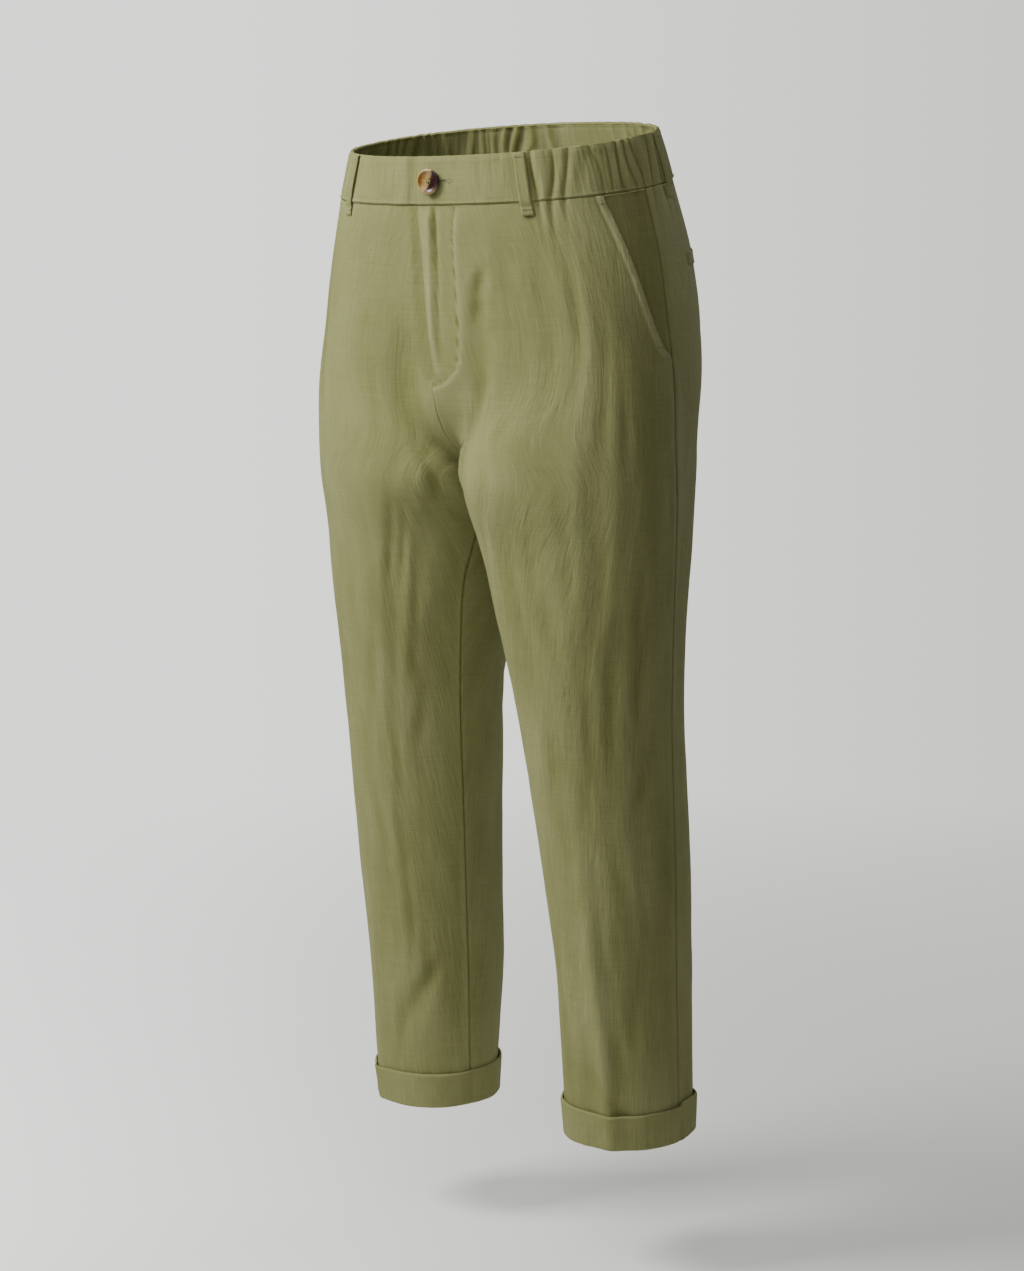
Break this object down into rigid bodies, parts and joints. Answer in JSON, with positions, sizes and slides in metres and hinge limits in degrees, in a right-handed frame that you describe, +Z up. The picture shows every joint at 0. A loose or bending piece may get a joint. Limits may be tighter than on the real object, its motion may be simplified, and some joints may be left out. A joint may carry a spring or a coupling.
{
  "type": "linen chino trousers",
  "caption": "Straight, cropped chino trousers with slant pockets, a buttoned fly front, an elastic back waist with belt loops, and turned-up hems.",
  "frame": {"origin": "centre of the waist opening, level with the waistband's top edge over the side seams", "axes": "+Z up through the waist opening, -Y towards the front, +X towards the wearer's left"},
  "size_m": [0.4172, 0.2665, 0.9767],
  "materials": {
    "cloth": "soft matt plain weave, olive",
    "button": "polished brown horn effect"
  },
  "bodies": {
    "root": {"front_left": "cloth", "front_right": "cloth", "back_left": "cloth", "back_right": "cloth", "pocket_facing_left": "cloth", "pocket_facing_right": "cloth", "waistband_left": "cloth", "waistband_right": "cloth", "waistband_back": "cloth", "belt_loop_front_left": "cloth", "belt_loop_front_right": "cloth", "belt_loop_side_left": "cloth", "belt_loop_side_right": "cloth", "belt_loop_back": "cloth", "back_welt_left": "cloth", "back_welt_right": "cloth", "cuff_left": "cloth", "cuff_right": "cloth", "button": "button"}
  },
  "joints": []
}
